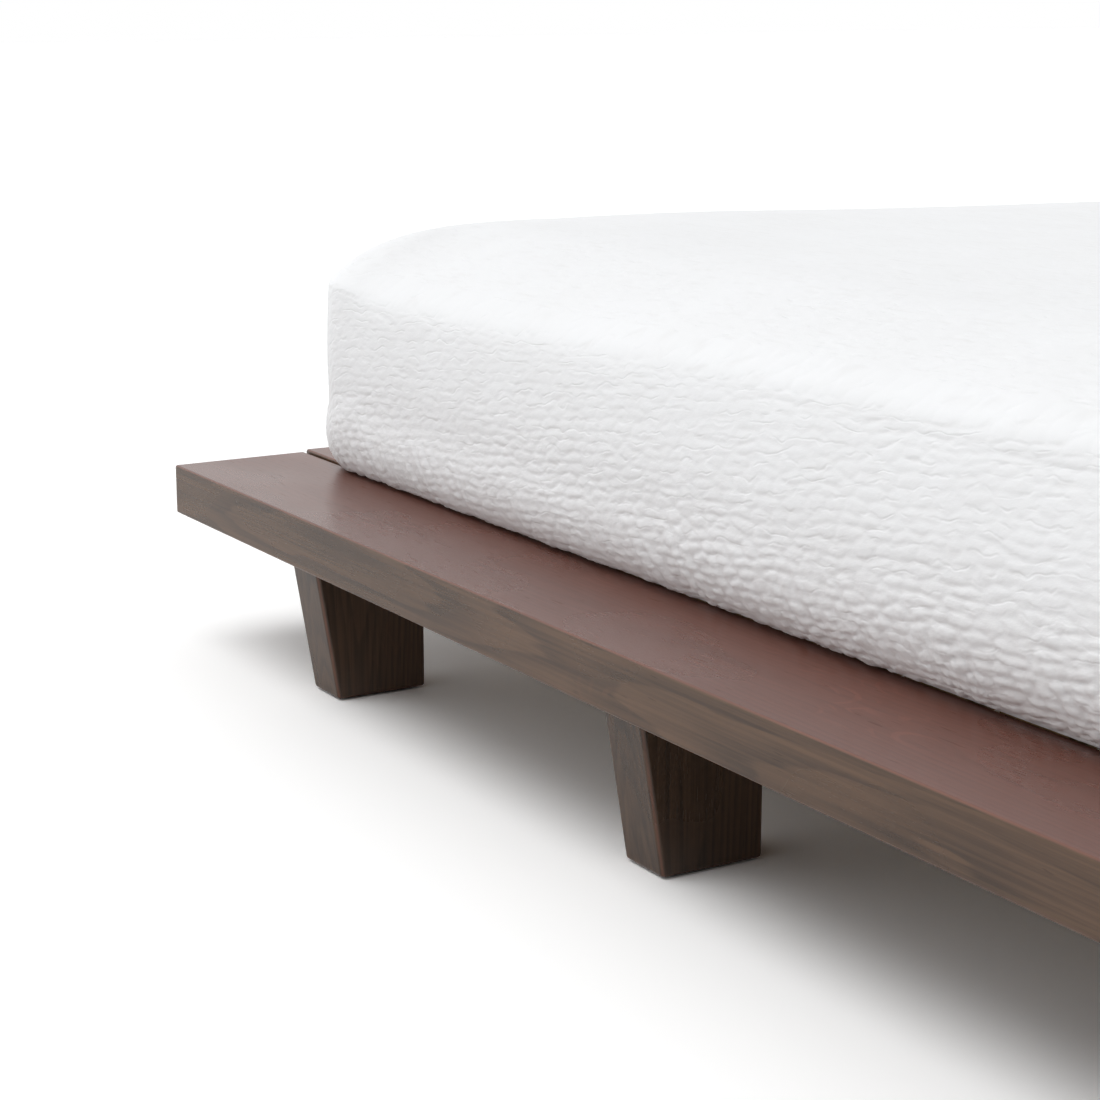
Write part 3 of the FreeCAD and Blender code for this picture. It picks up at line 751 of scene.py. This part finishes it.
def swell(piece, pinned):
    """Blows the cover up a little as cloth, held where it is tucked, and keeps the result."""
    mesh = piece.data
    piece.vertex_groups.new(name="tucked").add(pinned, 1.0, "REPLACE")
    start = np.empty(len(mesh.vertices) * 3)
    mesh.vertices.foreach_get("co", start)
    cloth = piece.modifiers.new("swell", "CLOTH")
    cloth.settings.vertex_group_mass = "tucked"
    cloth.settings.use_pressure = True
    cloth.settings.uniform_pressure_force = swell_pressure
    cloth.settings.effector_weights.gravity = 0
    cloth.collision_settings.use_collision = False
    cloth.point_cache.frame_end = swell_frames
    for step in range(1, swell_frames + 1):
        bpy.context.scene.frame_set(step)
    posed = piece.evaluated_get(bpy.context.evaluated_depsgraph_get())
    stop = np.empty_like(start)
    posed.data.vertices.foreach_get("co", stop)
    move = (stop - start).reshape(-1, 3)
    length = np.linalg.norm(move, axis=1, keepdims=True)
    move *= np.minimum(1.0, swell_limit / np.maximum(length, swell_limit * 0.001))
    piece.modifiers.remove(cloth)
    mesh.vertices.foreach_set("co", (start.reshape(-1, 3) + move).ravel())
    bpy.context.scene.frame_set(1)


def applied(piece):
    """Keeps the mesh that the piece's modifiers make."""
    posed = piece.evaluated_get(bpy.context.evaluated_depsgraph_get())
    made = bpy.data.meshes.new_from_object(posed)
    made.name = piece.name
    piece.modifiers.clear()
    piece.data = made


def scatter(column, line, seed):
    """A fixed random number from 0 to 1 for each place of a lattice."""
    turned = np.sin(column * 127.1 + line * 311.7 + seed * 74.7) * 43758.5453
    return turned - np.floor(turned)


def waves(x, y, seed):
    """Smooth uneven waves about one unit long, from -1 to 1, the same on every run."""
    total = np.zeros_like(x)
    for step_x in (0, 1):
        for step_y in (0, 1):
            corner_x = np.floor(x) + step_x
            corner_y = np.floor(y) + step_y
            turn = 2 * math.pi * scatter(corner_x, corner_y, seed)
            near_x = 1 - np.abs(x - corner_x)
            near_y = 1 - np.abs(y - corner_y)
            weight_x = near_x ** 3 * (near_x * (near_x * 6 - 15) + 10)
            weight_y = near_y ** 3 * (near_y * (near_y * 6 - 15) + 10)
            slope = np.cos(turn) * (x - corner_x) + np.sin(turn) * (y - corner_y)
            total += weight_x * weight_y * slope
    return total * 1.5


def eased(value, low, high):
    share = np.clip((value - low) / (high - low), 0, 1)
    return share * share * (3 - 2 * share)


def stitched(along, across, side, seed):
    """Creases at each line of stitching, sharp above and easy below, drawn tight only here and there."""
    easy = 0.46  # widths, as shares of the space between lines
    sharp = 0.20
    tight = np.zeros_like(along)
    for step in (-1, 0, 1):
        line = np.round(across) + step
        aside = 0.30 * waves(along / 0.050, line * 7.31, seed)
        aside += 0.15 * waves(along / 0.018, line * 3.17, seed)
        drawn = eased(waves(along / 0.040, line * 5.57, seed + 1), 0.0, 0.5)
        below = (across - line - aside) * side
        shape = 1 - np.where(below > 0, eased(below, 0.0, easy), eased(-below, 0.0, sharp))
        tight = np.maximum(tight, drawn * shape)
    return tight


def puffs(along, across, seed):
    """Irregular puffs in staggered rows: 0 in the stitched creases between them, near 1 in the middle."""
    start_x, span_x = 0.1, 0.8  # where in its cell a puff's middle may lie
    start_y, span_y = 0.28, 0.44
    squash = 0.8
    crispness = 3.2
    near = np.full(along.shape, 9.0)
    second = near.copy()
    for line_step in (-1, 0, 1):
        line = np.floor(across) + line_step
        shifted = along + 0.5 * np.mod(line, 2)
        for column_step in (-1, 0, 1):
            column = np.floor(shifted) + column_step
            from_x = shifted - column - start_x - span_x * scatter(column, line, seed)
            from_y = across - line - start_y - span_y * scatter(column, line, seed + 1)
            far = np.hypot(from_x, squash * from_y)
            second = np.minimum(second, np.maximum(near, far))
            near = np.minimum(near, far)
    return 1 - np.exp(-crispness * (second - near))


def hump(place):
    share = place - np.floor(place)
    return 4 * share * (1 - share)


def read(mesh, name):
    values = np.empty(len(mesh.vertices))
    mesh.attributes[name].data.foreach_get("value", values)
    return values


def keep(mesh, name, values):
    mesh.attributes.new(name, "FLOAT", "POINT").data.foreach_set("value", values.astype(np.float32))


def quilt(piece, half):
    """Stitched rows, puffs, creases and gathers, raised from the surface along its normals."""
    mesh = piece.data
    count = len(mesh.vertices)
    co = np.empty(count * 3)
    mesh.vertices.foreach_get("co", co)
    co = co.reshape(-1, 3)
    normal = np.empty(count * 3)
    mesh.vertices.foreach_get("normal", normal)
    normal = normal.reshape(-1, 3)
    across = read(mesh, "across")
    along = read(mesh, "along")

    def ripple(length, width, seed):
        """Waves in the cloth, by their length along the bed and their width across it."""
        return waves(along / length, across / width, seed)

    # Stitched rows that wander, puffs between them, shorter puffs low down, and a fine crinkle over all
    drift = row_drift[0] * ripple(0.11, 0.05, 1) + row_drift[1] * ripple(0.03, 0.02, 2)
    stray = puff_stray * ripple(0.09, 0.04, 3)
    line = (across + row_lean * along + drift) / row_pitch
    stitch = stitched(along, line, np.sign(across), 12)
    puff = puffs((along + stray) / puff_length, line, 4)
    lean = gather_lean * (co[:, 2] - cover_low.z)
    column = (along + lean + pillow_stray * ripple(0.07, 0.06, 14)) / pillow_length
    row = line + 0.35 * ripple(0.032, 0.022, 15)
    pillow = hump(row) ** 0.25 * hump(column) ** 0.6
    full = 0.35 + 0.65 * eased(ripple(0.055, 0.028, 16), -0.35, 0.35)
    slack = 1 - eased(co[:, 2], *slack_levels)
    loft = loft_range[0] + (loft_range[1] - loft_range[0]) * eased(co[:, 1], *loft_along)
    uneven_fill = loft * (1 + 0.5 * ripple(0.15, 0.12, 5))
    crinkle = np.abs(ripple(0.017, 0.0085, 6))
    fill = puff_height[0] + (puff_height[1] - puff_height[0]) * slack
    depth = row_depth[0] + (row_depth[1] - row_depth[0]) * slack
    height = (fill * (puff - puff_mean) - depth * (stitch - row_mean)) * uneven_fill
    gathered = 1 - eased(co[:, 2], *pillow_levels)
    height += pillow_height * loft * gathered * full * (pillow - puff_mean)
    height -= crinkle_height * crinkle * (0.5 + slack)

    # Longer creases, and the slow rise and fall of the whole cover
    crease = np.exp(-np.square(ripple(0.21, 0.047, 7) / 0.09))
    height -= crease_depth * crease * eased(ripple(0.16, 0.16, 8), -0.1, 0.5)
    height += lie_height * waves(co[:, 0] / 0.36, co[:, 1] / 0.42 + co[:, 2] / 0.5, 9)

    # Gathers where the cover is drawn in under the mattress, stronger round the corners
    corner_x = np.maximum(np.abs(co[:, 0]) - half.x + cover_corner, 0)
    corner_y = np.maximum(np.abs(co[:, 1]) - half.y + cover_corner, 0)
    reach = np.maximum(np.hypot(corner_x, corner_y), 0.001)
    rim_x = np.sign(co[:, 0]) * (np.abs(co[:, 0]) - corner_x + cover_corner * corner_x / reach)
    rim_y = np.sign(co[:, 1]) * (np.abs(co[:, 1]) - corner_y + cover_corner * corner_y / reach)
    lean_x = lean * corner_y / reach
    lean_y = lean * corner_x / reach
    fold = np.abs(waves((rim_x + lean_x) / gather_width, (rim_y + lean_y) / gather_width, 10))
    groove = np.exp(-fold / groove_width)
    drawn = 1 - eased(co[:, 2], gather_full, gather_top)
    bunched = 0.45 + 0.55 * eased(waves(rim_x / 0.13, rim_y / 0.13, 13), -0.2, 0.3)
    at_corner = eased(np.minimum(corner_x, corner_y), 0.0, cover_corner * 0.5)
    height -= gather_height * (groove - groove_mean) * drawn * (bunched + at_corner)
    height -= cover_skew * rim_y * drawn * eased(corner_x, 0.0, cover_corner)
    up = np.clip((co[:, 2] - cover_low.z + cover_droop) / belly_height, 0, 1)
    belly = np.sin(math.pi * up ** 0.8) * eased(rim_y, -half.y, belly_full)
    height += belly_depth * belly * eased(corner_x, 0.0, cover_corner) * np.abs(normal[:, 0])

    flat_below = eased(normal[:, 2], -1.0, -0.8)
    co += normal * (height * flat_below)[:, None]
    past_deck = eased(np.abs(co[:, 0]), slat_end, ledge_inner)
    co[:, 2] = np.maximum(co[:, 2], cover_low.z - cover_droop * past_deck)
    mesh.vertices.foreach_set("co", co.ravel())
    keep(mesh, "stitch", stitch)
    keep(mesh, "slack", slack)
    mesh.update()


cotton_white = (0.856, 0.864, 0.876, 1)
# A darker cotton, used for painted shade in the stitched creases and for faint lint soiling.
cotton_shade_and_soil = (0.815, 0.818, 0.824, 1)
cotton_depth = 0.0010
cotton_shine = 0.25
crinkle_share = (0.30, 0.22)  # where the cover is taut and where it is slack
soft_share = (0.40, 0.62)
thread_share = 0.08
crease_shade_share = 0.6
lint_soil = 0.25
row_wander = 2.4  # rows
hollow_width = 0.20

cotton, tree, shader, _ = new_material("quilted_cotton")
drawn = node(tree, "Attribute", attribute_name="stitch").outputs["Fac"]
slack = node(tree, "Attribute", attribute_name="slack").outputs["Fac"]
run = node(tree, "Attribute", attribute_name="along").outputs["Fac"]
width = node(tree, "Attribute", attribute_name="across").outputs["Fac"]
askew = calc(tree, "ADD", width, calc(tree, "MULTIPLY", run, row_lean))
sheet_place = node(tree, "CombineXYZ", {0: askew, 1: run}).outputs[0]
wander = uneven(tree, sheet_place, (38, 24, 1), 2.0)
row = calc(tree, "ADD", calc(tree, "DIVIDE", askew, row_pitch), calc(tree, "MULTIPLY", wander, row_wander))
hollow = between(tree, calc(tree, "PINGPONG", row, 0.5), 0.0, hollow_width, -1.0, 0.0)
broken = between(tree, uneven(tree, sheet_place, (75, 32, 1), 1.0), 0.42, 0.62)
crinkle = calc(tree, "MULTIPLY", hollow, broken)
soft = uneven(tree, sheet_place, (180, 100, 1), 3.0)
thread = uneven(tree, sheet_place, (1300, 700, 1), 1.0)
lint = uneven(tree, sheet_place, (9, 9, 1), 2.0)
crinkle = calc(tree, "MULTIPLY", crinkle, between(tree, slack, 0.0, 1.0, *crinkle_share))
soft = calc(tree, "MULTIPLY", soft, between(tree, slack, 0.0, 1.0, *soft_share))
relief = calc(tree, "ADD", crinkle, soft)
relief = calc(tree, "ADD", relief, calc(tree, "MULTIPLY", thread, thread_share))
# The stitched creases are painted darker, as painted shade in the creases; the lint is faint real soiling.
crease_shade = calc(tree, "MULTIPLY", drawn, crease_shade_share)
lint = calc(tree, "MULTIPLY", between(tree, lint, 0.3, 0.7), lint_soil)
crease_shade_and_lint = calc(tree, "ADD", crease_shade, lint)
set_shader(tree, shader, Base_Color=mixed(tree, crease_shade_and_lint, cotton_white, cotton_shade_and_soil))
set_shader(tree, shader, Roughness=between(tree, thread, 0.3, 0.7, 0.96, 0.86))
set_shader(tree, shader, Normal=bumped(tree, relief, cotton_depth), Specular_IOR_Level=cotton_shine)

cover_half = Vector((cover_high.x, cover_high.y)) + cover_loose
ledge_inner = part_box("side_board_right")[0].x
slat_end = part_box("slat_01")[1].x
cover_profile = shoulder_arc(cover_shoulder, shoulder_level, 4)
rest = cover_low.z - cover_droop
side_foot = (0.0, rest + cover_foot[1])
cover_profile += straight(cover_profile[-1], side_foot, 11, cover_bulge)
for turn in (0, 18, 36, 54, 72, 90):
    drawn_in = cover_foot[0] * (1 - math.cos(math.radians(turn)))
    cover_profile.append((drawn_in, side_foot[1] - cover_foot[1] * math.sin(math.radians(turn))))
cover_profile.append((cover_foot[0] + 2 * cover_droop, cover_low.z))
tuck_edge = (cover_tuck, cover_low.z)
cover_profile += straight(cover_profile[-1], tuck_edge, 1)
cover_profile += [tuck_edge, (cover_tuck + hem_height, cover_low.z + hem_height)]
cover_profile += [(cover_tuck - hem_turn, cover_low.z + hem_height)]
form, rim = spread_form(cover_half, cover_corner, cover_cells, cover_profile, crown_over(cover_half))
filled_out(form, shoulder_level)
soft_edge = [v for v in form.verts if abs(v.co.x) > cover_half.x - shoulder_width]
soft_edge = [v for v in soft_edge if v.co.z > shoulder_level - shoulder_drop]
soft_edge = [v for v in soft_edge if abs(v.co.y) < cover_half.y - shoulder_width]
for _ in range(shoulder_rounds):
    bmesh.ops.smooth_vert(form, verts=soft_edge, factor=0.5, use_axis_x=True, use_axis_z=True)
cover = new_piece("quilted_coverlet", form, cotton)
tucked = [v.index for v in cover.data.vertices if v.co.z < cover_low.z + cover_foot[1]]
swell(cover, tucked)
smoothed(cover, cover_finer)
applied(cover)
quilt(cover, cover_half)
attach(cover, "bedding")
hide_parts("coverlet")

# Studio
# A wide white floor between pale walls, brighter past the foot of the bed, under a large soft panel high
# over its right side. The background and the floor past the shadow show as white.
floor_reach = 30.0
floor_seen = (1.12, 1.12, 1.12, 1)
floor_bounce = (0.77, 0.77, 0.765, 1)
wall_light = (1.45, 0.16)  # past the foot, and past the head where the room is darker
wall_turn = (-0.37, 0.60)
low_light = 0.50  # a paler strip along the foot of the walls
low_top = 0.28
low_turn = (0.0, 0.6)
dome_light = 0.58
dome_rise = (0.36, 0.52)  # heights on the unit dome between which the walls give way to the ceiling
panel_light = 3.4
panel_height = math.radians(68)
panel_bearing = math.radians(-8)  # from the right side of the bed towards the foot
panel_spread = (math.cos(math.radians(28)), math.cos(math.radians(9)))  # faint rim and full middle
plain_white = (1, 1, 1, 1)

form = bmesh.new()
bmesh.ops.create_grid(form, x_segments=1, y_segments=1, size=floor_reach)
white_floor = bpy.data.materials.new("white_floor")
white_floor.use_nodes = True
tree = white_floor.node_tree
tree.nodes.clear()
seen = node(tree, "LightPath").outputs["Is Camera Ray"]
paint = node(tree, "BsdfDiffuse", {"Color": mixed(tree, seen, floor_bounce, floor_seen)})
node(tree, "OutputMaterial", {"Surface": paint.outputs[0]})
floor = new_piece("studio_floor", form, white_floor)

world = bpy.data.worlds.new("studio_dome")
bpy.context.scene.world = world
world.use_nodes = True
tree = world.node_tree
tree.nodes.clear()
direction = node(tree, "TexCoord").outputs["Generated"]
parts = node(tree, "SeparateXYZ", {0: direction}).outputs
wall = between(tree, parts[1], wall_turn[0], wall_turn[1], wall_light[0], wall_light[1])
strip = between(tree, parts[1], low_turn[0], low_turn[1], low_light, 0.0)
strip = between(tree, parts[2], 0.0, low_top, strip, 0.0)
dome = between(tree, parts[2], dome_rise[0], dome_rise[1], wall, dome_light)
dome = calc(tree, "ADD", dome, strip)
panel_reach = math.cos(panel_height)
panel_aside = (panel_reach * math.cos(panel_bearing), panel_reach * math.sin(panel_bearing))
panel_axis = (panel_aside[0], panel_aside[1], math.sin(panel_height))
facing = node(tree, "VectorMath", {0: direction, 1: panel_axis}, operation="DOT_PRODUCT").outputs[1]
panel = between(tree, facing, panel_spread[0], panel_spread[1], 0.0, panel_light)
lit = node(tree, "Background", {"Color": plain_white, "Strength": calc(tree, "ADD", dome, panel)})
backdrop = node(tree, "Background", {"Color": plain_white, "Strength": 1.0})
ray = node(tree, "LightPath").outputs
watched = calc(tree, "MAXIMUM", ray["Is Camera Ray"], ray["Is Glossy Ray"])
watched = calc(tree, "MAXIMUM", watched, ray["Is Transmission Ray"])
chosen = node(tree, "MixShader", {0: watched, 1: lit.outputs[0], 2: backdrop.outputs[0]})
node(tree, "OutputWorld", {"Surface": chosen.outputs[0]})

# Camera
# It stands past the right side of the bed towards the head, and looks down along the ledge to the foot.
camera_eye = Vector((2.3709, 1.9542, 0.8606))
camera_aim = Vector((1.2267, 0.0269, 0.3445))
camera_lens = 81.59  # millimetres, on a 36 mm square sensor
camera_sensor = 36.0

camera = bpy.data.cameras.new("camera")
camera.lens = camera_lens
camera.sensor_width = camera_sensor
stand = bpy.data.objects.new("camera", camera)
stand.location = camera_eye
stand.rotation_euler = (camera_aim - camera_eye).to_track_quat("-Z", "Y").to_euler()
bpy.context.scene.collection.objects.link(stand)
bpy.context.scene.camera = stand
bpy.context.scene.view_settings.view_transform = "Standard"
